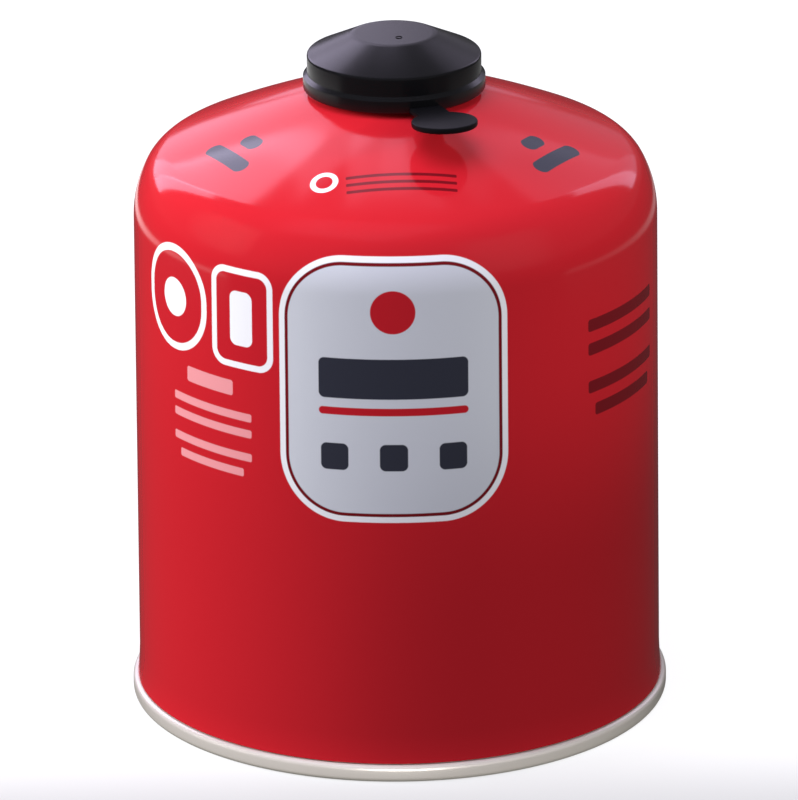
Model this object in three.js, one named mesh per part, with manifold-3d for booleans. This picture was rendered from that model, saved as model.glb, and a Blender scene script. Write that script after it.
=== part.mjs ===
// Gas fuel canister with a bare seamed foot, a self-sealing valve and a pull-off cap.
// Millimetres, +Z up, origin at the middle of the ring that the canister stands on.
import * as THREE from "three";
import { mergeVertices } from "three/addons/utils/BufferGeometryUtils.js";
import Module from "manifold-3d";

const wasm = await Module();
wasm.setup();

// Base end and its double seam
const seamRadius = 55;
const seamHeight = 3.5;
const seamWidth = 3.3;
const seamRound = 1.05;
const endSheet = 0.5;
const chuckDepth = 5.2;
const endRound = 2.4;
const endSlope = 19.5;

// Drawn vessel: side wall, shoulder, corner and dome, with the angles measured up from the side wall
const footRadius = 54.05;
const footFlare = 6;
const wallFootRadius = 53.55;
const wallTopRadius = 53.05;
const wallTop = 102.6;
const shoulderRadius = 21.6;
const shoulderTurn = 34;
const cornerRadius = 4;
const cornerTurn = 65;
const domeRadius = 300;

// Neck curl, round the opening that the valve's mounting cup closes
const neckBore = 12.7;
const neckWall = 0.9;
const neckRise = 2.9;
const curlWidth = 2.3;
const curlHeight = 2.4;
const curlRound = 0.8;

// Mounting cup with the threaded spout drawn up from its floor
const cupSheet = 0.5;
const cupSkirt = 3.2;
const cupRound = 1.1;
const wellDepth = 7;
const wellRound = 0.8;
const spoutRadius = 5.55;
const spoutWall = 0.9;
const spoutRise = 4.4;
const spoutChamfer = 0.5;
const lipThickness = 1;
const lipBore = 2.6;

// Seals, stem, spring and housing
const cupGasketThickness = 0.5;
const stemGasketThickness = 1.5;
const stemTipRadius = 1.6;
const stemRecess = 0.8;
const stemHeadRadius = 3.6;
const stemHeadHeight = 1.5;
const stemPinRadius = 1.2;
const stemPinLength = 3.4;
const springRadius = 2.6;
const springWire = 0.6;
const springTurns = 6;
const springLength = 9.2;
const housingWall = 0.45;
const housingFloor = 1.2;
const housingInlet = 0.8;

// Cap: lower band, wall, cone, round plateau, and the tab on its neck
const bandRadius = 18.4;
const bandHeight = 3.2;
const capWallRadius = 17.6;
const capRimGap = 1.3;
const capHeight = 11.35;
const plateauRadius = 8.4;
const coneSlope = 24.8;
const capEdgeRound = 0.9;
const capWall = 1.3;
const crownWall = 1.4;
const snapHeight = 0.8;
const lugCount = 6;
const lugWidth = 1;
const lugLength = 2.2;
const lugHeight = 1.6;
const tabRadius = 6.6;
const tabReach = 29.4;
const tabThickness = 1.2;
const tabNeckWidth = 6.6;
const tabBearing = 19.7;
const tabTilt = 3;

// Clearance between pieces that touch, and the running clearance of the stem
const gap = 0.3;
const stemGap = 0.3;

const bodySegments = 52;
const neckSegments = 40;
const valveSegments = 20;

const rad = THREE.MathUtils.degToRad;

// Points along an arc in the half plane of radius and height
function arc(centreR, centreZ, radius, fromDeg, toDeg, steps) {
  const points = [];
  for (let i = 0; i <= steps; i++) {
    const turn = rad(fromDeg + ((toDeg - fromDeg) * i) / steps);
    points.push([centreR + radius * Math.cos(turn), centreZ + radius * Math.sin(turn)]);
  }
  return points;
}

// A profile turned round the Z axis, starting and ending on the axis, or closed on itself
function turned(profile, segments) {
  const points = profile.map(([r, z]) => new THREE.Vector2(r, z));
  return new THREE.LatheGeometry(points, segments).rotateX(Math.PI / 2);
}

function closed(profile) {
  return [...profile, profile[0]];
}

function part(name, geometry, color, roughness, metalness) {
  const material = new THREE.MeshStandardMaterial({ color, roughness, metalness });
  const mesh = new THREE.Mesh(geometry, material);
  mesh.name = name;
  return mesh;
}

// A closed mesh as a solid that can be joined to another
function solidOf(geometry) {
  const bare = geometry.index ? geometry.toNonIndexed() : geometry.clone();
  bare.deleteAttribute("normal");
  bare.deleteAttribute("uv");
  const merged = mergeVertices(bare, 1e-4);
  const index = merged.index.array;
  const triVerts = [];
  for (let i = 0; i < index.length; i += 3) {
    const [a, b, c] = [index[i], index[i + 1], index[i + 2]];
    if (a !== b && b !== c && a !== c) triVerts.push(a, b, c);
  }
  return new wasm.Manifold(
    new wasm.Mesh({
      numProp: 3,
      vertProperties: new Float32Array(merged.attributes.position.array),
      triVerts: new Uint32Array(triVerts),
    }),
  );
}

function geometryOf(solid) {
  const mesh = solid.getMesh();
  const geometry = new THREE.BufferGeometry();
  geometry.setAttribute("position", new THREE.BufferAttribute(mesh.vertProperties, 3));
  geometry.setIndex(new THREE.BufferAttribute(mesh.triVerts, 1));
  geometry.computeVertexNormals();
  return geometry;
}

// The base end's underside, moved up by an offset: from the axis out over the dish to its upright wall
const seamInner = seamRadius - seamWidth;
const dishEdgeTurn = 90 - endSlope;
const dishEdgeR = seamInner - endRound + endRound * Math.cos(rad(dishEdgeTurn));
const dishEdgeZ = chuckDepth + endRound * Math.sin(rad(dishEdgeTurn));
const dishRadius = dishEdgeR / Math.sin(rad(endSlope));
const dishCentreZ = dishEdgeZ - dishRadius * Math.cos(rad(endSlope));

function endLine(offset) {
  const dish = arc(0, dishCentreZ, dishRadius + offset, 90, dishEdgeTurn, 4);
  dish[0][0] = 0;
  const round = arc(seamInner - endRound, chuckDepth, endRound + offset, dishEdgeTurn, 0, 3);
  return [...dish, ...round.slice(1)];
}

function baseEnd() {
  const bottom = arc(seamInner + seamRound, seamRound, seamRound, 180, 270, 2);
  const outerLow = arc(seamRadius - seamRound, seamRound, seamRound, 270, 360, 2);
  const outerHigh = arc(seamRadius - seamRound, seamHeight - seamRound, seamRound, 0, 90, 2);
  return turned(
    [
      ...endLine(0),
      ...bottom,
      ...outerLow,
      ...outerHigh,
      [seamInner + endSheet, seamHeight],
      ...endLine(endSheet).reverse(),
    ],
    bodySegments,
  );
}

// Centres of the shoulder's, the corner's and the dome's arcs, each tangent to the one before
const shoulderCentreR = wallTopRadius - shoulderRadius;
const shoulderCentreZ = wallTop;
const cornerCentreR = shoulderCentreR + (shoulderRadius - cornerRadius) * Math.cos(rad(shoulderTurn));
const cornerCentreZ = shoulderCentreZ + (shoulderRadius - cornerRadius) * Math.sin(rad(shoulderTurn));
const domeCentreR = cornerCentreR + (cornerRadius - domeRadius) * Math.cos(rad(cornerTurn));
const domeCentreZ = cornerCentreZ + (cornerRadius - domeRadius) * Math.sin(rad(cornerTurn));

function domeTurnAt(radius) {
  return THREE.MathUtils.radToDeg(Math.acos((radius - domeCentreR) / domeRadius));
}

function domeHeightAt(radius) {
  return domeCentreZ + domeRadius * Math.sin(rad(domeTurnAt(radius)));
}

// Heights that follow from the dome: the neck, the cup on it, the spout, and the cap over them all
const neckOuter = neckBore + neckWall;
const curlOuter = neckBore + curlWidth;
const neckTop = domeHeightAt(neckOuter) + neckRise;
const cupRimUnder = neckTop + gap + cupGasketThickness + gap;
const cupRimTop = cupRimUnder + cupSheet;
const wellFloor = cupRimTop - wellDepth;
const spoutTop = cupRimTop + spoutRise;
const lipUnder = spoutTop - lipThickness;
const spoutInner = spoutRadius - spoutWall;
const stemGasketTop = lipUnder - gap;
const stemGasketUnder = stemGasketTop - stemGasketThickness;
const stemHeadTop = stemGasketUnder - gap;
const stemHeadUnder = stemHeadTop - stemHeadHeight;
const housingTop = stemHeadTop;
const housingOuter = spoutInner - gap;
const springTop = stemHeadUnder - gap;
const housingSeat = springTop - springLength - gap;
const housingBottom = housingSeat - housingFloor;
const capRim = domeHeightAt(bandRadius) + capRimGap;
const capTop = capRim + capHeight;

function canBody() {
  const underside = endLine(endSheet + gap);
  const seamTop = seamHeight + gap;
  const shoulder = arc(shoulderCentreR, shoulderCentreZ, shoulderRadius, 0, shoulderTurn, 6);
  const corner = arc(cornerCentreR, cornerCentreZ, cornerRadius, shoulderTurn, cornerTurn, 3);
  const dome = arc(domeCentreR, domeCentreZ, domeRadius, cornerTurn, domeTurnAt(neckOuter), 3);
  const curlUnder = neckTop - curlHeight;
  const curlLow = arc(curlOuter - curlRound, curlUnder + curlRound, curlRound, 270, 360, 2);
  const curlHigh = arc(curlOuter - curlRound, neckTop - curlRound, curlRound, 0, 90, 2);
  return turned(
    [
      ...underside,
      [seamInner + endSheet + gap, seamTop],
      [footRadius, seamTop],
      [(footRadius + wallFootRadius) / 2 - 0.1, seamTop + footFlare * 0.35],
      [wallFootRadius, seamTop + footFlare],
      ...shoulder,
      ...corner.slice(1),
      ...dome.slice(1),
      [neckOuter, curlUnder],
      ...curlLow,
      ...curlHigh,
      [neckBore, neckTop],
      [neckBore, wellFloor - cupSheet - gap],
      [housingOuter + gap, wellFloor - cupSheet - gap],
      [housingOuter + gap, housingBottom - gap],
      [0, housingBottom - gap],
    ],
    bodySegments,
  );
}

function valveCup() {
  const skirtOuter = curlOuter + gap + cupSheet;
  const skirtFoot = cupRimTop - cupSkirt;
  const wellInner = neckBore - gap - cupSheet;
  const rimHigh = arc(skirtOuter - cupRound, cupRimTop - cupRound, cupRound, 0, 90, 3);
  const lip = arc(wellInner + cupSheet, cupRimTop - cupSheet, cupSheet, 90, 180, 2);
  const wellCorner = arc(wellInner - wellRound, wellFloor + wellRound, wellRound, 360, 270, 2);
  const spoutCorner = arc(spoutRadius + wellRound, wellFloor + wellRound, wellRound, 270, 180, 2);
  const under = wellFloor - cupSheet;
  return turned(
    closed([
      [skirtOuter, skirtFoot],
      ...rimHigh,
      ...lip,
      ...wellCorner,
      ...spoutCorner,
      [spoutRadius, spoutTop - spoutChamfer],
      [spoutRadius - spoutChamfer, spoutTop],
      [lipBore, spoutTop],
      [lipBore, lipUnder],
      [spoutInner, lipUnder],
      [spoutInner, under],
      [wellInner - wellRound + cupSheet, under],
      [wellInner + cupSheet, under + wellRound],
      [wellInner + cupSheet, cupRimUnder],
      [skirtOuter - cupRound, cupRimUnder],
      [skirtOuter - cupSheet, cupRimUnder - cupRound + cupSheet],
      [skirtOuter - cupSheet, skirtFoot],
    ]),
    neckSegments,
  );
}

function ring(inner, outer, under, top, segments) {
  const corners = [
    [inner, under],
    [outer, under],
    [outer, top],
    [inner, top],
  ];
  return turned(closed(corners), segments);
}

function valveStem() {
  const tipTop = spoutTop - stemRecess;
  const tipEdge = stemTipRadius / 5;
  return turned(
    [
      [0, stemHeadUnder - stemPinLength],
      [stemPinRadius, stemHeadUnder - stemPinLength],
      [stemPinRadius, stemHeadUnder],
      [stemHeadRadius, stemHeadUnder],
      [stemHeadRadius, stemHeadTop],
      [stemTipRadius, stemHeadTop],
      [stemTipRadius, tipTop - tipEdge],
      [stemTipRadius - tipEdge, tipTop],
      [0, tipTop],
    ],
    valveSegments,
  );
}

function valveHousing() {
  return turned(
    closed([
      [housingInlet, housingBottom],
      [housingOuter, housingBottom],
      [housingOuter, housingTop],
      [housingOuter - housingWall, housingTop],
      [housingOuter - housingWall, housingSeat],
      [housingInlet, housingSeat],
    ]),
    valveSegments,
  );
}

// A helix of the spring's mean radius between two heights
class Helix extends THREE.Curve {
  constructor(radius, low, high, turns) {
    super();
    Object.assign(this, { radius, low, high, turns });
  }
  getPoint(t, target = new THREE.Vector3()) {
    const turn = 2 * Math.PI * this.turns * t;
    const z = this.low + (this.high - this.low) * t;
    return target.set(this.radius * Math.cos(turn), this.radius * Math.sin(turn), z);
  }
}

function valveSpring() {
  const wireRadius = springWire / 2;
  const section = new THREE.Shape();
  section.absarc(0, 0, wireRadius, 0, 2 * Math.PI);
  const low = springTop - springLength + wireRadius;
  return new THREE.ExtrudeGeometry(section, {
    extrudePath: new Helix(springRadius, low, springTop - wireRadius, springTurns),
    steps: springTurns * 10,
    curveSegments: 6,
    bevelEnabled: false,
  });
}

// The cap's shell, open below, with a step inside its band and a snap bead near its rim
function capShell() {
  const slope = Math.tan(rad(coneSlope));
  const bandTop = capRim + bandHeight;
  const bandInner = bandRadius - capWall;
  const wallInner = capWallRadius - capWall;
  const snapInner = curlOuter + gap + cupSheet + gap;
  const edgeCentreR = capWallRadius - capEdgeRound;
  const coneDrop = (r) => (r - plateauRadius) * slope;
  const edgeCentreZ = capTop - coneDrop(edgeCentreR) - capEdgeRound / Math.cos(rad(coneSlope));
  const ceiling = capTop - crownWall;
  return turned(
    [
      [0, ceiling],
      [plateauRadius - crownWall / 2, ceiling],
      [wallInner, ceiling - coneDrop(wallInner) - crownWall * slope],
      [wallInner, bandTop - capWall],
      [bandInner, bandTop - capWall - (bandInner - wallInner)],
      [bandInner, capRim + 2 * snapHeight],
      [snapInner, capRim + snapHeight],
      [snapInner, capRim],
      [bandRadius, capRim],
      [bandRadius, bandTop - (bandRadius - capWallRadius)],
      [capWallRadius, bandTop],
      ...arc(edgeCentreR, edgeCentreZ, capEdgeRound, 0, 90 - coneSlope, 3),
      [plateauRadius, capTop],
      [0, capTop],
    ],
    neckSegments,
  );
}

// Lugs inside the wall that seat on the mounting cup's rim
function capLug(index) {
  const outer = capWallRadius - capWall / 2;
  const lug = new THREE.BoxGeometry(lugLength, lugWidth, lugHeight);
  lug.translate(outer - lugLength / 2, 0, cupRimTop + gap + lugHeight / 2);
  return lug.rotateZ((2 * Math.PI * (index + 0.5)) / lugCount);
}

// The round tab and its neck, moulded flat with the rim and tipped up a little
function capTab() {
  const neckRoot = bandRadius - capWall / 2;
  const half = tabNeckWidth / 2;
  const join = Math.asin(half / tabRadius);
  const outline = new THREE.Shape();
  outline.moveTo(neckRoot - bandRadius, -half);
  outline.lineTo(tabReach - bandRadius - tabRadius * Math.cos(join), -half);
  outline.absarc(tabReach - bandRadius, 0, tabRadius, Math.PI + join, 3 * Math.PI - join);
  outline.lineTo(neckRoot - bandRadius, half);
  outline.closePath();
  const tab = new THREE.ExtrudeGeometry(outline, {
    depth: tabThickness,
    curveSegments: 28,
    bevelEnabled: false,
  });
  tab.rotateY(-rad(tabTilt));
  tab.translate(bandRadius, 0, capRim);
  return tab.rotateZ(rad(tabBearing - 90));
}

function cap() {
  let solid = solidOf(capShell()).add(solidOf(capTab()));
  for (let i = 0; i < lugCount; i++) solid = solid.add(solidOf(capLug(i)));
  return geometryOf(solid);
}

const cupGasketInner = neckBore + gap;
const cupGasketOuter = curlOuter - curlRound;
const cupGasketUnder = neckTop + gap;
const stemGasketBore = stemTipRadius + stemGap;

const canister = new THREE.Group();
canister.add(
  part("can_body", canBody(), 0xc31322, 0.2, 0.1),
  part("base_end", baseEnd(), 0xd9d3c8, 0.3, 1),
  part("valve_cup", valveCup(), 0xd2cec6, 0.3, 1),
  part(
    "cup_gasket",
    ring(cupGasketInner, cupGasketOuter, cupGasketUnder, cupGasketUnder + cupGasketThickness, neckSegments),
    0x1c1c1e,
    0.8,
    0,
  ),
  part(
    "stem_gasket",
    ring(stemGasketBore, spoutInner - gap, stemGasketUnder, stemGasketTop, valveSegments),
    0x141414,
    0.8,
    0,
  ),
  part("valve_housing", valveHousing(), 0xe6e4dc, 0.5, 0),
  part("valve_spring", valveSpring(), 0xb8b8b4, 0.3, 1),
);

const valve = new THREE.Group();
valve.add(part("valve_stem", valveStem(), 0x2b2b2e, 0.45, 0));

const cover = new THREE.Group();
cover.add(part("cap", cap(), 0x1b1b1f, 0.35, 0));

const group = new THREE.Group();
group.add(canister, valve, cover);

export default group;
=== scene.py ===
import math

import bmesh
import bpy
from mathutils import Matrix, Vector


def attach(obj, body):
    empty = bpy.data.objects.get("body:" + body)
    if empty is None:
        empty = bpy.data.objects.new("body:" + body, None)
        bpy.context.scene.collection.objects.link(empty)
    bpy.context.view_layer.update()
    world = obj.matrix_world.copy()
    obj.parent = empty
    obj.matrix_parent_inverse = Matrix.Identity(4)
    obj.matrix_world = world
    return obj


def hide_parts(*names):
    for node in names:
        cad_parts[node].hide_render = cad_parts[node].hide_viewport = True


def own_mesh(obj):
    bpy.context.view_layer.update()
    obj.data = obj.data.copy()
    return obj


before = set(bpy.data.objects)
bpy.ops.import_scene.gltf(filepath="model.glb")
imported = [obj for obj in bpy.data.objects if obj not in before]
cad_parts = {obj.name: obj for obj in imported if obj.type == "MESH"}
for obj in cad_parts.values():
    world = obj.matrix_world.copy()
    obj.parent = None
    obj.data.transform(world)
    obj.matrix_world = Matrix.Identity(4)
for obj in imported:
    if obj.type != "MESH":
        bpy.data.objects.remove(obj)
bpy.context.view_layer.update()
print("frame loaded")

# The object's sizes are in millimetres and its angles in degrees. A mesh is scaled to metres when it becomes a piece.
millimetre = 0.001
mergeDistance = 0.002


# Profiles: one vertex is dragged along straight lines and arcs, then the wire is spun round the Z axis.
def drawProfile(mesh, start, moves):
    vert = mesh.verts.new((start[0], 0, start[1]))
    for move in moves:
        if len(move) == 2:  # straight to a radius and a height
            vert = bmesh.ops.extrude_vert_indiv(mesh, verts=[vert])["verts"][0]
            vert.co = (move[0], 0, move[1])
        else:  # round a centre by an angle, anticlockwise with the radius to the right, in some steps
            centreR, centreZ, turn, steps = move
            spun = bmesh.ops.spin(
                mesh,
                geom=[vert],
                cent=(centreR, 0, centreZ),
                axis=(0, -1, 0),
                angle=math.radians(turn),
                steps=steps,
            )
            vert = [item for item in spun["geom_last"] if isinstance(item, bmesh.types.BMVert)][0]
    return vert


def spinProfile(mesh, steps):
    bmesh.ops.remove_doubles(mesh, verts=mesh.verts, dist=mergeDistance)
    bmesh.ops.spin(
        mesh,
        geom=list(mesh.verts) + list(mesh.edges),
        cent=(0, 0, 0),
        axis=(0, 0, 1),
        angle=math.tau,
        steps=steps,
        use_merge=True,
    )
    bmesh.ops.remove_doubles(mesh, verts=mesh.verts, dist=mergeDistance)
    bmesh.ops.recalc_face_normals(mesh, faces=mesh.faces)


def windProfile(mesh, turns, rise, steps):
    # Winds what the mesh holds round the Z axis, rising as it goes, and closes both ends
    bmesh.ops.spin(
        mesh,
        geom=list(mesh.verts) + list(mesh.edges),
        cent=(0, 0, 0),
        axis=(0, 0, 1),
        dvec=(0, 0, rise / steps),
        angle=math.tau * turns,
        steps=steps,
    )
    bmesh.ops.holes_fill(mesh, edges=[edge for edge in mesh.edges if edge.is_boundary])
    bmesh.ops.recalc_face_normals(mesh, faces=mesh.faces)


def bevelEdges(mesh, edges, offset, steps):
    bmesh.ops.bevel(mesh, geom=edges, offset=offset, affect="EDGES", segments=steps, profile=0.5, material=-1)


# A piece rides on its body, takes its finish's slot, and stands for the CAD nodes that it names
def finishPiece(name, mesh, material, body, sharpAngle=35, nodes=()):
    bmesh.ops.scale(mesh, vec=(millimetre, millimetre, millimetre), verts=mesh.verts)
    for face in mesh.faces:
        face.smooth = True
    data = bpy.data.meshes.new(name)
    mesh.to_mesh(data)
    mesh.free()
    data.set_sharp_from_angle(angle=math.radians(sharpAngle))
    data.materials.append(material)
    piece = bpy.data.objects.new(name, data)
    bpy.context.scene.collection.objects.link(piece)
    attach(piece, body)
    if nodes:
        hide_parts(*nodes)
    return piece


# Materials
def principled(name, colour, roughness, metallic=0, specular=0.5):
    material = bpy.data.materials.new(name)
    material.use_nodes = True
    shader = material.node_tree.nodes["Principled BSDF"]
    shader.inputs["Base Color"].default_value = (*colour, 1)
    shader.inputs["Roughness"].default_value = roughness
    shader.inputs["Metallic"].default_value = metallic
    shader.inputs["Specular IOR Level"].default_value = specular
    return material


def mathNode(tree, operation, first, second=None, third=None):
    node = tree.nodes.new("ShaderNodeMath")
    node.operation = operation
    for socket, value in zip(node.inputs, (first, second, third)):
        if value is None:
            continue
        if isinstance(value, (int, float)):
            socket.default_value = value
        else:
            tree.links.new(value, socket)
    return node.outputs[0]


def rampNode(tree, value, low, high):
    # 0 at low and 1 at high, with a smooth step between them and no change beyond them
    node = tree.nodes.new("ShaderNodeMapRange")
    node.interpolation_type = "SMOOTHSTEP"
    node.inputs["From Min"].default_value = low
    node.inputs["From Max"].default_value = high
    tree.links.new(value, node.inputs["Value"])
    return node.outputs[0]


def mixColour(tree, factor, under, over):
    node = tree.nodes.new("ShaderNodeMix")
    node.data_type = "RGBA"
    for name, value in (("Factor_Float", factor), ("A_Color", under), ("B_Color", over)):
        socket = [item for item in node.inputs if item.identifier == name][0]
        if isinstance(value, tuple):
            socket.default_value = (*value, 1)
        elif isinstance(value, (int, float)):
            socket.default_value = value
        else:
            tree.links.new(value, socket)
    return [item for item in node.outputs if item.identifier == "Result_Color"][0]


# Base end: a dished sheet with an upright wall and the double seam that the canister stands on
baseEnd = {
    "seamRadius": 55,
    "seamHeight": 3.5,
    "seamWidth": 3.3,
    "seamRound": 1.05,
    "sheet": 0.5,
    "chuckDepth": 5.2,
    "endRound": 2.4,
    "endSlope": 19.5,
    "gap": 0.3,
    "steps": 200,
    "roundSteps": 8,
    "bedSteps": 6,
}


def dishOf(values):
    # The dish's sphere is tangent to the round that leads to the upright wall
    seamInner = values["seamRadius"] - values["seamWidth"]
    slope = math.radians(values["endSlope"])
    edgeR = seamInner - values["endRound"] + values["endRound"] * math.sin(slope)
    edgeZ = values["chuckDepth"] + values["endRound"] * math.cos(slope)
    radius = edgeR / math.sin(slope)
    return seamInner, radius, edgeZ - radius * math.cos(slope)


def buildBaseEnd(material):
    values = baseEnd
    seamInner, dishRadius, dishCentreZ = dishOf(values)
    sheet, steps = values["sheet"], values["roundSteps"]
    seamRound = values["seamRound"]
    outer = values["seamRadius"] - seamRound
    mesh = bmesh.new()
    drawProfile(
        mesh,
        (0, dishCentreZ + dishRadius),
        [
            (0, dishCentreZ, -values["endSlope"], steps),
            (seamInner - values["endRound"], values["chuckDepth"], values["endSlope"] - 90, steps),
            (seamInner, seamRound),
            (seamInner + seamRound, seamRound, 90, steps),
            (outer, 0),
            (outer, seamRound, 90, steps),
            (values["seamRadius"], values["seamHeight"] - seamRound),
            (outer, values["seamHeight"] - seamRound, 90, steps),
            (seamInner + sheet, values["seamHeight"]),
            (seamInner + sheet, values["chuckDepth"]),
            (seamInner - values["endRound"], values["chuckDepth"], 90 - values["endSlope"], steps),
            (0, dishCentreZ, values["endSlope"], steps),
        ],
    )
    spinProfile(mesh, values["steps"])
    return finishPiece("Base_End", mesh, material, "canister", nodes=["base_end"])


# Drawn vessel: side wall, shoulder, corner, dome and neck curl, painted all over
vessel = {
    "footRadius": 54.05,
    "seamTop": 3.8,
    "footSweep": (0.33, 2.1),
    "wallFoot": (53.55, 9.8),
    "wallTop": (53.05, 102.6),
    "shoulderRadius": 21.6,
    "shoulderTurn": 27.358,
    "cornerRadius": 9.5,
    "cornerTurn": 65.330,
    "domeRadius": 300,
    "neckOuter": 13.6,
    "neckBore": 12.7,
    "neckTop": 132.408,
    "curlOuter": 15,
    "curlHeight": 2.4,
    "curlRound": 0.8,
    "socketTop": 126.208,
    "socketRadius": 4.65,
    "socketFloor": 122.508,
    "steps": 200,
    "shoulderSteps": 24,
    "cornerSteps": 10,
    "domeSteps": 12,
    "curlSteps": 6,
}


def buildVessel(material):
    values = vessel
    seamInner, dishRadius, dishCentreZ = dishOf(baseEnd)
    offset = baseEnd["sheet"] + baseEnd["gap"]
    top = values["wallTop"]
    shoulderCentre = (top[0] - values["shoulderRadius"], top[1])
    turn = math.radians(values["shoulderTurn"])
    reach = values["shoulderRadius"] - values["cornerRadius"]
    cornerCentre = (shoulderCentre[0] + reach * math.cos(turn), shoulderCentre[1] + reach * math.sin(turn))
    turn = math.radians(values["cornerTurn"])
    reach = values["cornerRadius"] - values["domeRadius"]
    domeCentre = (cornerCentre[0] + reach * math.cos(turn), cornerCentre[1] + reach * math.sin(turn))
    domeEnd = math.degrees(math.acos((values["neckOuter"] - domeCentre[0]) / values["domeRadius"]))
    curlUnder = values["neckTop"] - values["curlHeight"]
    curlCentre = values["curlOuter"] - values["curlRound"]
    mesh = bmesh.new()
    drawProfile(
        mesh,
        (0, dishCentreZ + dishRadius + offset),
        [
            (0, dishCentreZ, -baseEnd["endSlope"], baseEnd["roundSteps"]),
            (seamInner - baseEnd["endRound"], baseEnd["chuckDepth"], baseEnd["endSlope"] - 90, baseEnd["bedSteps"]),
            (seamInner + offset, values["seamTop"]),
            (values["footRadius"], values["seamTop"]),
            (values["footRadius"] - values["footSweep"][0], values["seamTop"] + values["footSweep"][1]),
            values["wallFoot"],
            values["wallTop"],
            (*shoulderCentre, values["shoulderTurn"], values["shoulderSteps"]),
            (*cornerCentre, values["cornerTurn"] - values["shoulderTurn"], values["cornerSteps"]),
            (*domeCentre, domeEnd - values["cornerTurn"], values["domeSteps"]),
            (values["neckOuter"], curlUnder),
            (curlCentre, curlUnder),
            (curlCentre, curlUnder + values["curlRound"], 90, values["curlSteps"]),
            (values["curlOuter"], values["neckTop"] - values["curlRound"]),
            (curlCentre, values["neckTop"] - values["curlRound"], 90, values["curlSteps"]),
            (values["neckBore"], values["neckTop"]),
            (values["neckBore"], values["socketTop"]),
            (values["socketRadius"], values["socketTop"]),
            (values["socketRadius"], values["socketFloor"]),
            (0, values["socketFloor"]),
        ],
    )
    spinProfile(mesh, values["steps"])
    return finishPiece("Canister_Vessel", mesh, material, "canister", nodes=["can_body"])


# Cap: lower band, wall, cone and round plateau, open below, with a gate mark, seating lugs and a pull tab
cap = {
    "rim": 129.206,
    "bandRadius": 18.4,
    "bandHeight": 3.2,
    "bandRound": 0.35,
    "flareDrop": 0.6,
    "flareRise": 0.15,
    "wallRadius": 17.6,
    "height": 11.35,
    "plateauRadius": 8.4,
    "plateauRound": 3,
    "coneSlope": 24.8,
    "edgeRound": 0.6,
    "wall": 1.3,
    "crown": 1.4,
    "snapInner": 16.1,
    "snapHeight": 0.8,
    "steps": 160,
    "bandSteps": 4,
    "edgeSteps": 10,
    "plateauSteps": 6,
}


def buildCap(material):
    values = cap
    slope = math.radians(values["coneSlope"])
    top = values["rim"] + values["height"]
    bandTop = values["rim"] + values["bandHeight"]
    bandRound = values["bandRound"]
    bandInner = values["bandRadius"] - values["wall"]
    wallInner = values["wallRadius"] - values["wall"]
    edgeCentreR = values["wallRadius"] - values["edgeRound"]
    edgeCentreZ = top - (edgeCentreR - values["plateauRadius"]) * math.tan(slope)
    edgeCentreZ -= values["edgeRound"] / math.cos(slope)
    ceiling = top - values["crown"]
    innerDrop = (wallInner - values["plateauRadius"]) * math.tan(slope)
    plateauEdge = values["plateauRound"] * math.tan(slope / 2)
    mesh = bmesh.new()
    drawProfile(
        mesh,
        (0, ceiling),
        [
            (values["plateauRadius"] - values["crown"] / 2, ceiling),
            (wallInner, ceiling - innerDrop - values["crown"] * math.tan(slope)),
            (wallInner, bandTop - values["wall"]),
            (bandInner, bandTop - values["wall"] - (bandInner - wallInner)),
            (bandInner, values["rim"] + 2 * values["snapHeight"]),
            (values["snapInner"], values["rim"] + values["snapHeight"]),
            (values["snapInner"], values["rim"]),
            (values["bandRadius"] - bandRound, values["rim"]),
            (values["bandRadius"] - bandRound, values["rim"] + bandRound, 90, values["bandSteps"]),
            (values["bandRadius"], bandTop - values["flareDrop"]),
            (values["wallRadius"], bandTop + values["flareRise"]),
            (values["wallRadius"], edgeCentreZ),
            (edgeCentreR, edgeCentreZ, 90 - values["coneSlope"], values["edgeSteps"]),
            (values["plateauRadius"] + plateauEdge * math.cos(slope), top - plateauEdge * math.sin(slope)),
            (
                values["plateauRadius"] - plateauEdge,
                top - values["plateauRound"],
                values["coneSlope"],
                values["plateauSteps"],
            ),
            (0, top),
        ],
    )
    spinProfile(mesh, values["steps"])
    return finishPiece("Cap_Moulding", mesh, material, "cap", nodes=["cap"])


# Gate mark: a low pip off the plateau's middle, with a dimple in its crown
gateMark = {
    "place": (1, -3.4),
    "radius": 0.75,
    "topRadius": 0.675,
    "proud": 0.12,
    "dimple": 0.5,
    "dimpleRim": 0.1875,
    "steps": 32,
}


def buildGateMark(material):
    values = gateMark
    top = cap["rim"] + cap["height"]
    mesh = bmesh.new()
    pip = bmesh.ops.create_cone(
        mesh,
        cap_ends=True,
        radius1=values["radius"],
        radius2=values["topRadius"],
        depth=2 * values["proud"],
        segments=values["steps"],
    )["verts"]
    bmesh.ops.translate(mesh, vec=(*values["place"], top), verts=pip)
    crown = [max(mesh.faces, key=lambda face: face.normal.z)]
    bmesh.ops.inset_region(mesh, faces=crown, thickness=values["dimpleRim"])
    bmesh.ops.translate(mesh, vec=(0, 0, -values["dimple"]), verts=crown[0].verts)
    bmesh.ops.recalc_face_normals(mesh, faces=mesh.faces)
    return finishPiece("Cap_Gate_Mark", mesh, material, "cap")


# Pull tab: a round disc on a short neck, level with the cap's rim and tipped up a little
capTab = {
    "radius": 6.6,
    "reach": 29.4,
    "thickness": 1.2,
    "neckWidth": 6.6,
    "bearing": 19.7,
    "tilt": 3,
    "edgeRound": 0.3,
    "edgeSteps": 3,
    "edgeAngle": 60,
    "steps": 72,
}


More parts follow.
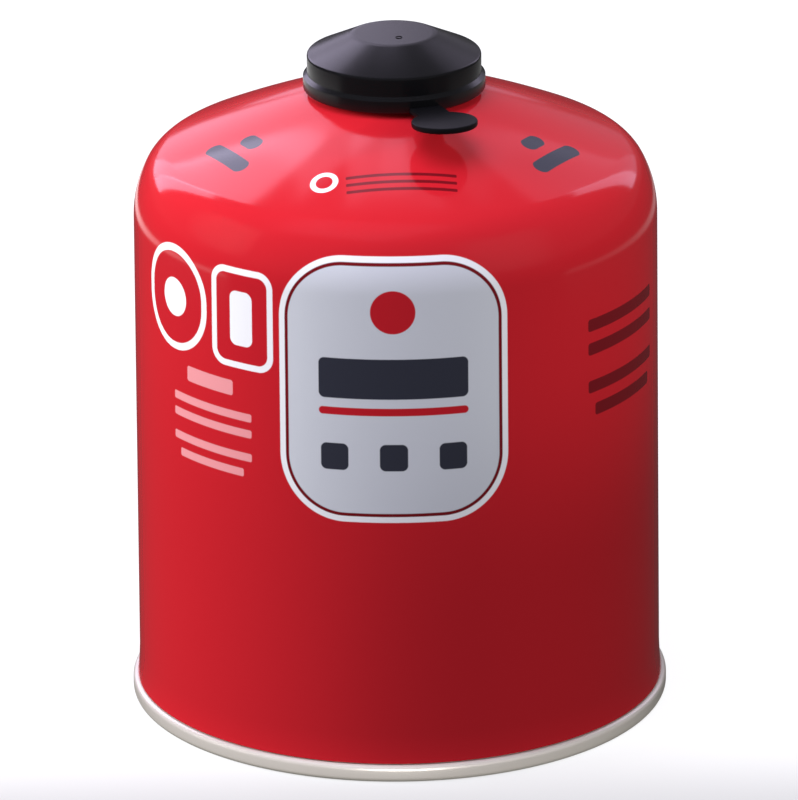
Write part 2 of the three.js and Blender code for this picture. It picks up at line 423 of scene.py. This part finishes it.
def buildTab(material):
    values = capTab
    half = values["thickness"] / 2
    mesh = bmesh.new()
    disc = bmesh.ops.create_circle(mesh, cap_ends=True, radius=values["radius"], segments=values["steps"])
    bmesh.ops.translate(mesh, vec=(values["reach"], 0, 0), verts=disc["verts"])
    # The neck grows out of the disc's inner edges, to end inside the band
    inward = [
        edge
        for edge in mesh.edges
        if all(abs(vert.co.y) <= values["neckWidth"] / 2 and vert.co.x < values["reach"] for vert in edge.verts)
    ]
    grown = bmesh.ops.extrude_edge_only(mesh, edges=inward)["geom"]
    for item in grown:
        if isinstance(item, bmesh.types.BMVert):
            item.co.x = cap["bandRadius"] - cap["wall"] / 2
    bmesh.ops.translate(mesh, vec=(0, 0, -half), verts=mesh.verts)
    bmesh.ops.recalc_face_normals(mesh, faces=mesh.faces)
    slab = bmesh.ops.extrude_face_region(mesh, geom=list(mesh.faces))["geom"]
    raised = [item for item in slab if isinstance(item, bmesh.types.BMVert)]
    bmesh.ops.translate(mesh, vec=(0, 0, values["thickness"]), verts=raised)
    bmesh.ops.recalc_face_normals(mesh, faces=mesh.faces)
    # Rounds the level edges along the slab's top and bottom
    rimEdges = []
    for edge in mesh.edges:
        rise = abs(edge.verts[0].co.z - edge.verts[1].co.z)
        if len(edge.link_faces) == 2 and edge.calc_face_angle(0) > math.radians(values["edgeAngle"]) and rise < half:
            rimEdges.append(edge)
    bevelEdges(mesh, rimEdges, values["edgeRound"], values["edgeSteps"])
    bmesh.ops.translate(mesh, vec=(-cap["bandRadius"], 0, half), verts=mesh.verts)
    tilt = Matrix.Rotation(-math.radians(values["tilt"]), 3, "Y")
    bmesh.ops.rotate(mesh, cent=(0, 0, 0), matrix=tilt, verts=mesh.verts)
    bmesh.ops.translate(mesh, vec=(cap["bandRadius"], 0, cap["rim"]), verts=mesh.verts)
    bearing = Matrix.Rotation(math.radians(values["bearing"] - 90), 3, "Z")
    bmesh.ops.rotate(mesh, cent=(0, 0, 0), matrix=bearing, verts=mesh.verts)
    return finishPiece("Cap_Tab", mesh, material, "cap")


# Lugs inside the cap's wall, which seat on the mounting cup's rim
capLug = {
    "count": 6,
    "firstTurn": 30,
    "width": 1,
    "length": 2.2,
    "height": 1.6,
    "seat": 134.308,
    "edgeRound": 0.15,
    "edgeSteps": 2,
}


def buildLugs(material):
    values = capLug
    mesh = bmesh.new()
    outer = cap["wallRadius"] - cap["wall"] / 2
    for index in range(values["count"]):
        cube = bmesh.ops.create_cube(mesh, size=1)["verts"]
        bmesh.ops.scale(mesh, vec=(values["length"], values["width"], values["height"]), verts=cube)
        place = (outer - values["length"] / 2, 0, values["seat"] + values["height"] / 2)
        bmesh.ops.translate(mesh, vec=place, verts=cube)
        turn = math.radians(values["firstTurn"]) + math.tau * index / values["count"]
        bmesh.ops.rotate(mesh, cent=(0, 0, 0), matrix=Matrix.Rotation(turn, 3, "Z"), verts=cube)
    bevelEdges(mesh, list(mesh.edges), values["edgeRound"], values["edgeSteps"])
    return finishPiece("Cap_Lugs", mesh, material, "cap")


# Mounting cup with its well, and the thread wound on its spout
mountingCup = {
    "skirtOuter": 15.8,
    "skirtFoot": 130.808,
    "rimTop": 134.008,
    "rimRound": 1.1,
    "sheet": 0.5,
    "wellInner": 11.9,
    "wellFloor": 127.008,
    "wellRound": 0.8,
    "spoutRadius": 5.55,
    "spoutWall": 0.9,
    "spoutTop": 138.408,
    "spoutChamfer": (0.3, 0.5),
    "threadRunIn": 0.3,
    "lip": 1,
    "lipBore": 2.6,
    "steps": 144,
    "rimSteps": 8,
    "roundSteps": 6,
}
spoutThread = {
    "pitch": 0.907,
    "depth": 0.5,
    "foot": 129.2,
    "halfRoot": 0.35,
    "halfCrest": 0.06,
    "sunk": 0.05,
    "turns": 9,
    "steps": 48,
}


def buildMountingCup(material):
    values = mountingCup
    sheet = values["sheet"]
    wellOuter = values["wellInner"] + sheet
    rimRound = values["rimRound"]
    wellRound = values["wellRound"]
    spoutInner = values["spoutRadius"] - values["spoutWall"]
    spoutCore = values["spoutRadius"] - spoutThread["depth"]
    lipUnder = values["spoutTop"] - values["lip"]
    under = values["wellFloor"] - sheet
    rimCentre = values["skirtOuter"] - rimRound
    chamferIn, chamferDown = values["spoutChamfer"]
    steps = values["roundSteps"]
    mesh = bmesh.new()
    drawProfile(
        mesh,
        (values["skirtOuter"], values["skirtFoot"]),
        [
            (values["skirtOuter"], values["rimTop"] - rimRound),
            (rimCentre, values["rimTop"] - rimRound, 90, values["rimSteps"]),
            (wellOuter, values["rimTop"]),
            (wellOuter, values["rimTop"] - sheet, 90, steps),
            (values["wellInner"], values["wellFloor"] + wellRound),
            (values["wellInner"] - wellRound, values["wellFloor"] + wellRound, -90, steps),
            (values["spoutRadius"] + wellRound, values["wellFloor"]),
            (values["spoutRadius"] + wellRound, values["wellFloor"] + wellRound, -90, steps),
            (values["spoutRadius"], spoutThread["foot"]),
            (spoutCore, spoutThread["foot"] + values["threadRunIn"]),
            (spoutCore, values["spoutTop"] - chamferDown),
            (spoutCore - chamferIn, values["spoutTop"]),
            (values["lipBore"], values["spoutTop"]),
            (values["lipBore"], lipUnder),
            (spoutInner, lipUnder),
            (spoutInner, under),
            (values["wellInner"] - wellRound + sheet, under),
            (wellOuter, under + wellRound),
            (wellOuter, values["rimTop"] - sheet),
            (rimCentre, values["rimTop"] - sheet),
            (rimCentre, values["rimTop"] - rimRound, -90, steps),
            (values["skirtOuter"] - sheet, values["skirtFoot"]),
            (values["skirtOuter"], values["skirtFoot"]),
        ],
    )
    spinProfile(mesh, values["steps"])
    return finishPiece("Mounting_Cup", mesh, material, "canister", nodes=["valve_cup"])


def buildThread(material):
    values = spoutThread
    outer = mountingCup["spoutRadius"]
    core = outer - values["depth"] - values["sunk"]
    mesh = bmesh.new()
    drawProfile(
        mesh,
        (core, values["foot"] - values["halfRoot"]),
        [
            (outer, values["foot"] - values["halfCrest"]),
            (outer, values["foot"] + values["halfCrest"]),
            (core, values["foot"] + values["halfRoot"]),
        ],
    )
    windProfile(mesh, values["turns"], values["pitch"] * values["turns"], values["turns"] * values["steps"])
    return finishPiece("Spout_Thread", mesh, material, "canister", 50)


# Stem: a pin that the spring pushes up, a head under the lip, and the tip that a stove presses
stem = {
    "pinRadius": 1.2,
    "pinFoot": 130.408,
    "headRadius": 3.6,
    "headUnder": 133.808,
    "headTop": 135.308,
    "tipRadius": 1.6,
    "tipTop": 137.608,
    "tipRound": 0.32,
    "tipSteps": 5,
    "steps": 48,
}


def buildStem(material):
    values = stem
    tipRound = values["tipRound"]
    mesh = bmesh.new()
    drawProfile(
        mesh,
        (0, values["pinFoot"]),
        [
            (values["pinRadius"], values["pinFoot"]),
            (values["pinRadius"], values["headUnder"]),
            (values["headRadius"], values["headUnder"]),
            (values["headRadius"], values["headTop"]),
            (values["tipRadius"], values["headTop"]),
            (values["tipRadius"], values["tipTop"] - tipRound),
            (values["tipRadius"] - tipRound, values["tipTop"] - tipRound, 90, values["tipSteps"]),
            (0, values["tipTop"]),
        ],
    )
    spinProfile(mesh, values["steps"])
    return finishPiece("Valve_Stem", mesh, material, "stem", nodes=["valve_stem"])


# Spring: a coil built at its rest length; the real one shortens by the stem's travel when the valve is pressed
spring = {
    "radius": 2.6,
    "wire": 0.6,
    "foot": 124.308,
    "top": 133.508,
    "travel": 1.5,
    "turns": 6,
    "steps": 40,
    "wireSteps": 12,
}


def buildSpring(material):
    values = spring
    length = values["top"] - values["foot"]
    mesh = bmesh.new()
    wire = bmesh.ops.create_circle(mesh, radius=values["wire"] / 2, segments=values["wireSteps"])["verts"]
    bmesh.ops.rotate(mesh, cent=(0, 0, 0), matrix=Matrix.Rotation(math.radians(90), 3, "X"), verts=wire)
    bmesh.ops.translate(mesh, vec=(values["radius"], 0, values["foot"] + values["wire"] / 2), verts=wire)
    windProfile(mesh, values["turns"], length - values["wire"], values["turns"] * values["steps"])
    piece = finishPiece("Valve_Spring", mesh, material, "canister", 60, ["valve_spring"])
    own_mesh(piece)
    return piece


# Finishes
paint = {"colour": (0.53, 0.0135, 0.021), "roughness": 0.12}
finishes = {
    "tinplate": {"colour": (0.64, 0.595, 0.53), "roughness": 0.34, "metallic": 0.4},
    "brightTin": {"colour": (0.8, 0.78, 0.75), "roughness": 0.24, "metallic": 0.95},
    "blackPlastic": {"colour": (0.004, 0.004, 0.0045), "roughness": 0.24},
    "tabPlastic": {"colour": (0.004, 0.004, 0.0045), "roughness": 0.45, "specular": 0.15},
    "stemPlastic": {"colour": (0.03, 0.03, 0.034), "roughness": 0.4},
    "housingPlastic": {"colour": (0.7, 0.69, 0.64), "roughness": 0.45},
    "rubber": {"colour": (0.015, 0.015, 0.016), "roughness": 0.7},
    "springSteel": {"colour": (0.55, 0.55, 0.53), "roughness": 0.28, "metallic": 1},
}

# Print on the paint: plain fields and shapes, the later over the earlier, each a rounded box.
# A line gives the ink, the place, and the box's width, height and corner round.
# On the wall the place is a bearing from the front and a height, and on the dome a bearing and a radius.
inks = {
    "white": (0.86, 0.86, 0.86),
    "silver": (0.6, 0.62, 0.65),
    "rose": (0.78, 0.3, 0.31),
    "slate": (0.03, 0.032, 0.045),
    "darkRed": (0.16, 0.006, 0.01),
    "red": (0.5, 0.012, 0.02),
}
wallPrint = [
    ("white", -0.8, 83, 46.6, 55.4, 13.5),
    ("darkRed", -0.8, 83, 44.2, 53, 12.3),
    ("silver", -0.8, 83, 42.8, 51.6, 11.6),
    ("red", -0.8, 99.5, 9, 9, 4.5),
    ("slate", -0.8, 85.5, 30, 8.4, 1.2),
    ("red", -0.8, 78.6, 30, 1.6, 0.8),
    ("slate", -13.6, 69, 5.6, 5.6, 1.2),
    ("slate", -0.8, 69, 5.6, 5.6, 1.2),
    ("slate", 12, 69, 5.6, 5.6, 1.2),
    ("white", -56.5, 95, 20.6, 22, 10.2),
    ("red", -56.5, 95, 17.6, 19, 8.7),
    ("white", -56.5, 95, 8, 8, 4),
    ("white", -35.6, 95, 15, 21, 3.4),
    ("red", -35.6, 95, 12.4, 18.4, 2.2),
    ("white", -35.6, 95, 5.4, 11.4, 1.6),
    ("rose", -45, 80, 13, 3.2, 0.6),
    ("rose", -45, 74.4, 22, 1.7, 0.4),
    ("rose", -45, 71, 22, 1.7, 0.4),
    ("rose", -45, 66, 22, 1.7, 0.4),
    ("rose", -45, 62.6, 18, 1.7, 0.4),
    ("darkRed", 60, 90.5, 26, 2.6, 0.6),
    ("darkRed", 60, 85.5, 26, 2.6, 0.6),
    ("darkRed", 60, 77.5, 26, 2.6, 0.6),
    ("darkRed", 60, 72.5, 22, 2.6, 0.6),
]
domePrint = [
    ("white", -22, 37.6, 5.6, 5.6, 2.8),
    ("red", -22, 37.6, 3.4, 3.4, 1.7),
    ("darkRed", 2, 38.2, 22, 0.8, 0.2),
    ("darkRed", 2, 36.2, 22, 0.8, 0.2),
    ("darkRed", 2, 34.2, 22, 0.8, 0.2),
    ("slate", -62, 38, 15, 3.4, 1.7),
    ("slate", -62, 32.5, 6, 3.4, 1.7),
    ("slate", 58, 38, 15, 3.4, 1.7),
    ("slate", 58, 32.5, 6, 3.4, 1.7),
    ("slate", 178, 38, 15, 3.4, 1.7),
    ("slate", 178, 32.5, 6, 3.4, 1.7),
]
printEdge = {"ink": 0.12, "wallFoot": (18, 18.2), "domeFoot": (112, 112.2)}


def printedShape(tree, across, up, width, height, corner):
    # Share of the ink, from the distance to a rounded box centred on the origin
    over = []
    for along, size in ((across, width), (up, height)):
        past = mathNode(tree, "SUBTRACT", mathNode(tree, "ABSOLUTE", along), size / 2 - corner)
        over.append(mathNode(tree, "MAXIMUM", past, 0))
    squares = mathNode(tree, "MULTIPLY_ADD", over[0], over[0], mathNode(tree, "MULTIPLY", over[1], over[1]))
    away = mathNode(tree, "SUBTRACT", corner, mathNode(tree, "SQRT", squares))
    return rampNode(tree, away, -printEdge["ink"], printEdge["ink"])


def printedPaint():
    material = principled("Red_Paint", **paint)
    tree = material.node_tree
    place = tree.nodes.new("ShaderNodeTexCoord")
    split = tree.nodes.new("ShaderNodeSeparateXYZ")
    tree.links.new(place.outputs["Object"], split.inputs[0])
    x, y, z = split.outputs
    bearing = mathNode(tree, "ARCTAN2", x, mathNode(tree, "MULTIPLY", y, -1))
    wallRadius = vessel["wallTop"][0]
    around = mathNode(tree, "MULTIPLY", bearing, wallRadius)
    height = mathNode(tree, "MULTIPLY", z, 1 / millimetre)
    onWall = rampNode(tree, height, *printEdge["wallFoot"])
    colour = paint["colour"]
    for ink, turn, level, width, tall, corner in wallPrint:
        across = mathNode(tree, "SUBTRACT", around, math.radians(turn) * wallRadius)
        up = mathNode(tree, "SUBTRACT", height, level)
        share = mathNode(tree, "MULTIPLY", printedShape(tree, across, up, width, tall, corner), onWall)
        colour = mixColour(tree, share, colour, inks[ink])
    onDome = rampNode(tree, height, *printEdge["domeFoot"])
    for ink, turn, radius, width, tall, corner in domePrint:
        sine, cosine = math.sin(math.radians(turn)) / millimetre, math.cos(math.radians(turn)) / millimetre
        across = mathNode(tree, "MULTIPLY_ADD", x, cosine, mathNode(tree, "MULTIPLY", y, sine))
        out = mathNode(tree, "MULTIPLY_ADD", x, sine, mathNode(tree, "MULTIPLY", y, -cosine))
        up = mathNode(tree, "SUBTRACT", out, radius)
        share = mathNode(tree, "MULTIPLY", printedShape(tree, across, up, width, tall, corner), onDome)
        colour = mixColour(tree, share, colour, inks[ink])
    tree.links.new(colour, tree.nodes["Principled BSDF"].inputs["Base Color"])
    return material


redPaint = printedPaint()
made = {name: principled(name[0].upper() + name[1:], **values) for name, values in finishes.items()}

buildVessel(redPaint)
seam = buildBaseEnd(made["tinplate"])
print("vessel and base end built")

buildCap(made["blackPlastic"])
buildTab(made["tabPlastic"])
buildGateMark(made["blackPlastic"])
buildLugs(made["blackPlastic"])
print("cap built")

buildMountingCup(made["brightTin"])
buildThread(made["brightTin"])
buildStem(made["stemPlastic"])
buildSpring(made["springSteel"])
for node, finish in (("cup_gasket", "rubber"), ("stem_gasket", "rubber"), ("valve_housing", "housingPlastic")):
    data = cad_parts[node].data
    data.materials.clear()
    data.materials.append(made[finish])
print("valve built")

# Camera: the photograph's viewing angle. From here on places are in metres.
camera = {
    "place": (0, -1.65, 0.66611),
    "pitch": 20.1154,
    "roll": -0.5352,
    "sensor": 36,
    "lens": 387.028,
    "shift": 0.0022,
}


def buildCamera():
    data = bpy.data.cameras.new("Camera")
    data.sensor_width = camera["sensor"]
    data.lens = camera["lens"]
    data.shift_x = camera["shift"]
    eye = bpy.data.objects.new("Camera", data)
    pitch = Matrix.Rotation(math.radians(90 - camera["pitch"]), 4, "X")
    roll = Matrix.Rotation(math.radians(camera["roll"]), 4, "Z")
    eye.matrix_world = Matrix.Translation(camera["place"]) @ pitch @ roll
    bpy.context.scene.collection.objects.link(eye)
    bpy.context.scene.camera = eye


# Lights: a tall backdrop of bright strips behind the canister, soft fills and narrow beams that leave no
# reflection of their own, and a fill for the bare seam alone
backdrop = {
    # bearing from straight behind, brightness, and the elevations of the lower and the upper edge
    "strips": (
        (-42, 3.4, 6, 42),
        (-30, 2.5, 5, 51),
        (-18, 1.35, 5, 58.5),
        (-6, 1.05, 5, 66),
        (6, 0.4, 5, 67),
        (18, 0.22, 5, 61),
        (30, 0.5, 5, 52),
        (42, 1.7, 5, 43),
    ),
    "distance": 1.37,
    "width": 0.29,
    "aim": (0, 0, 0.12),
    "colour": (0.82, 0.74, 1),
}
fills = {
    "Above": {
        "place": (-0.25, -0.35, 1.3),
        "aim": (0, 0, 0.1),
        "size": 1,
        "power": 14.5,
        "colour": (0.92, 0.88, 1.25),
    },
    "Left": {"place": (-1.37, -0.13, 0.6), "aim": (0, 0, 0.06), "size": 0.8, "power": 27},
    "Right": {"place": (1.15, -0.96, 0.55), "aim": (0, 0, 0.06), "size": 1, "power": 9},
    "Back": {"place": (0.2, 1.5, 0.5), "aim": (0, 0, 0.06), "size": 1, "power": 8},
}
beams = {
    "places": {"Upper_Left": (-1.9, -0.5, 0.75), "Upper_Right": (1.9, -0.6, 0.75)},
    "powers": {"Upper_Left": 22, "Upper_Right": 56},
    "aim": (0, 0, 0.232),
    "cone": 10.5,
    "blend": 0.25,
    "softness": 0.02,
}
seamLight = {"place": (0.05, -1.4, 0.3), "aim": (0, 0, 0), "size": 0.5, "power": 13.5}


def placeLight(name, kind, place, aim, power, colour=(1, 1, 1)):
    data = bpy.data.lights.new(name, kind)
    data.energy = power
    data.color = colour
    light = bpy.data.objects.new(name, data)
    facing = Vector(aim) - Vector(place)
    light.matrix_world = Matrix.Translation(place) @ facing.to_track_quat("-Z", "Y").to_matrix().to_4x4()
    light.visible_camera = False
    bpy.context.scene.collection.objects.link(light)
    return light


def buildBackdrop():
    values = backdrop
    for bearing, level, low, high in values["strips"]:
        turn, up = math.radians(bearing), math.radians((low + high) / 2)
        height = 2 * values["distance"] * math.tan(math.radians((high - low) / 2))
        away = Vector((math.cos(up) * math.sin(turn), math.cos(up) * math.cos(turn), math.sin(up)))
        place = Vector(values["aim"]) + away * values["distance"]
        power = level * math.pi * values["width"] * height
        light = placeLight("Backdrop_" + str(bearing), "AREA", place, values["aim"], power, values["colour"])
        light.data.shape = "RECTANGLE"
        light.data.size, light.data.size_y = values["width"], height


def buildLights():
    for name, values in fills.items():
        colour = values.get("colour", (1, 1, 1))
        light = placeLight(name, "AREA", values["place"], values["aim"], values["power"], colour)
        light.data.size = values["size"]
        light.visible_glossy = False
    for name, place in beams["places"].items():
        light = placeLight(name, "SPOT", place, beams["aim"], beams["powers"][name])
        light.data.spot_size = math.radians(beams["cone"])
        light.data.spot_blend = beams["blend"]
        light.data.shadow_soft_size = beams["softness"]
        light.visible_glossy = False
    light = placeLight("Seam", "AREA", seamLight["place"], seamLight["aim"], seamLight["power"])
    light.data.size = seamLight["size"]
    lit = bpy.data.collections.new("Lit_Seam")
    lit.objects.link(seam)
    light.light_linking.receiver_collection = lit


# World: white where it is seen, and dim as a source of light
world = {"seen": 1, "ambient": 0.1}


def buildWorld():
    studio = bpy.data.worlds.new("Studio")
    studio.use_nodes = True
    tree = studio.node_tree
    background = tree.nodes["Background"]
    path = tree.nodes.new("ShaderNodeLightPath")
    more = world["seen"] - world["ambient"]
    level = mathNode(tree, "MULTIPLY_ADD", path.outputs["Is Camera Ray"], more, world["ambient"])
    background.inputs["Color"].default_value = (1, 1, 1, 1)
    tree.links.new(level, background.inputs["Strength"])
    bpy.context.scene.world = studio


# Floor: a pair gives where a change starts and where it ends
floor = {
    "colour": (0.16, 0.16, 0.16),
    "size": 4,
    "glow": 0.9,
    "frontGlow": 0.54,
    "frontFade": (-0.075, -0.03),
    "nearGlow": 0.05,
    "farGlowLeft": 1.1,
    "farGlowRight": 0.3,
    "farSide": (0.1, -0.1),
    "farFrom": (0.35, 0.38),
    "farTo": (0.42, 0.47),
    "behind": (-0.12, -0.09),
}


def seenFloor(tree, y):
    # Seen directly the floor is white and fades a little towards the front
    seen = tree.nodes.new("ShaderNodeBsdfDiffuse")
    seen.inputs["Color"].default_value = (*floor["colour"], 1)
    glow = tree.nodes.new("ShaderNodeEmission")
    front = rampNode(tree, y, *floor["frontFade"])
    level = mathNode(tree, "MULTIPLY_ADD", front, floor["glow"] - floor["frontGlow"], floor["frontGlow"])
    tree.links.new(level, glow.inputs["Strength"])
    both = tree.nodes.new("ShaderNodeAddShader")
    tree.links.new(seen.outputs[0], both.inputs[0])
    tree.links.new(glow.outputs[0], both.inputs[1])
    return both.outputs[0]


def reflectedFloor(tree, x, y):
    # As a reflection it is bright only in a band some way behind, and more so on the left
    squares = mathNode(tree, "ADD", mathNode(tree, "MULTIPLY", x, x), mathNode(tree, "MULTIPLY", y, y))
    radius = mathNode(tree, "SQRT", squares)
    start, end = rampNode(tree, radius, *floor["farFrom"]), rampNode(tree, radius, *floor["farTo"])
    far = mathNode(tree, "MULTIPLY", mathNode(tree, "SUBTRACT", start, end), rampNode(tree, y, *floor["behind"]))
    more = floor["farGlowLeft"] - floor["farGlowRight"]
    side = mathNode(tree, "MULTIPLY_ADD", rampNode(tree, x, *floor["farSide"]), more, floor["farGlowRight"])
    dim = tree.nodes.new("ShaderNodeEmission")
    tree.links.new(mathNode(tree, "MULTIPLY_ADD", far, side, floor["nearGlow"]), dim.inputs["Strength"])
    return dim.outputs[0]


def buildFloor():
    material = bpy.data.materials.new("Floor")
    material.use_nodes = True
    tree = material.node_tree
    tree.nodes.clear()
    path = tree.nodes.new("ShaderNodeLightPath")
    place = tree.nodes.new("ShaderNodeTexCoord")
    split = tree.nodes.new("ShaderNodeSeparateXYZ")
    tree.links.new(place.outputs["Object"], split.inputs[0])
    x, y = split.outputs[0], split.outputs[1]
    choice = tree.nodes.new("ShaderNodeMixShader")
    output = tree.nodes.new("ShaderNodeOutputMaterial")
    tree.links.new(path.outputs["Is Camera Ray"], choice.inputs[0])
    tree.links.new(reflectedFloor(tree, x, y), choice.inputs[1])
    tree.links.new(seenFloor(tree, y), choice.inputs[2])
    tree.links.new(choice.outputs[0], output.inputs["Surface"])
    mesh = bmesh.new()
    bmesh.ops.create_grid(mesh, x_segments=1, y_segments=1, size=floor["size"])
    data = bpy.data.meshes.new("Floor")
    mesh.to_mesh(data)
    mesh.free()
    data.materials.append(material)
    piece = bpy.data.objects.new("Floor", data)
    bpy.context.scene.collection.objects.link(piece)


buildCamera()
buildBackdrop()
buildLights()
buildWorld()
buildFloor()
bpy.context.scene.view_settings.view_transform = "Standard"
print("camera, lights and floor set")
